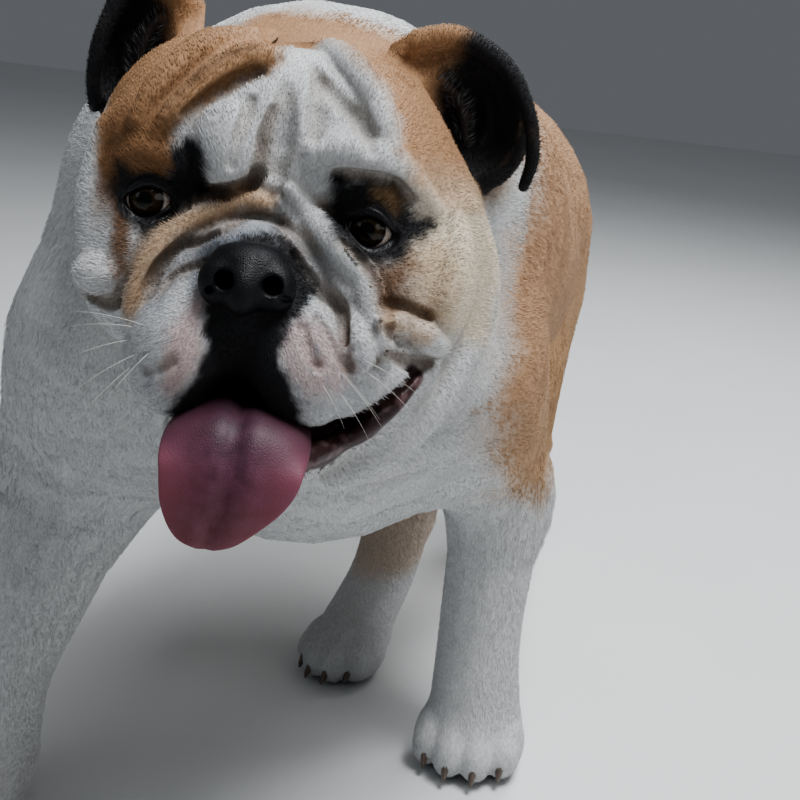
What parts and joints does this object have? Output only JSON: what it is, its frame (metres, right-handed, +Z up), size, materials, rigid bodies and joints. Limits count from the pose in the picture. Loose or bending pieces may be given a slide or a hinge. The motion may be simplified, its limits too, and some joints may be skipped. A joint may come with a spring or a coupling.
{
  "type": "english bulldog, still life-size model",
  "caption": "Heavy, low dog with a wide wrinkled head, short muzzle, hanging tongue and rose ears, shown walking as a still display figure.",
  "frame": {"origin": "middle of the bounding box, on the floor between the paws", "axes": "+Z up, the dog faces -Y, its left side is at +X"},
  "size_m": [0.3194, 0.6668, 0.4593],
  "materials": {
    "coat": "matte",
    "nose_leather": "satin",
    "tongue": "satin",
    "eye": "gloss",
    "claw": "satin"
  },
  "bodies": {
    "root": {"head": "coat", "lower_jaw": "coat", "neck": "coat", "chest": "coat", "hindquarters": "coat", "tail": "coat", "foreleg_left": "coat", "forepaw_left": "coat", "foreleg_right": "coat", "forepaw_right": "coat", "hindleg_left": "coat", "hindpaw_left": "coat", "hindleg_right": "coat", "hindpaw_right": "coat", "ear_left": "coat", "ear_right": "coat", "nose": "nose_leather", "tongue": "tongue", "eye_left": "eye", "eye_right": "eye"}
  },
  "joints": []
}
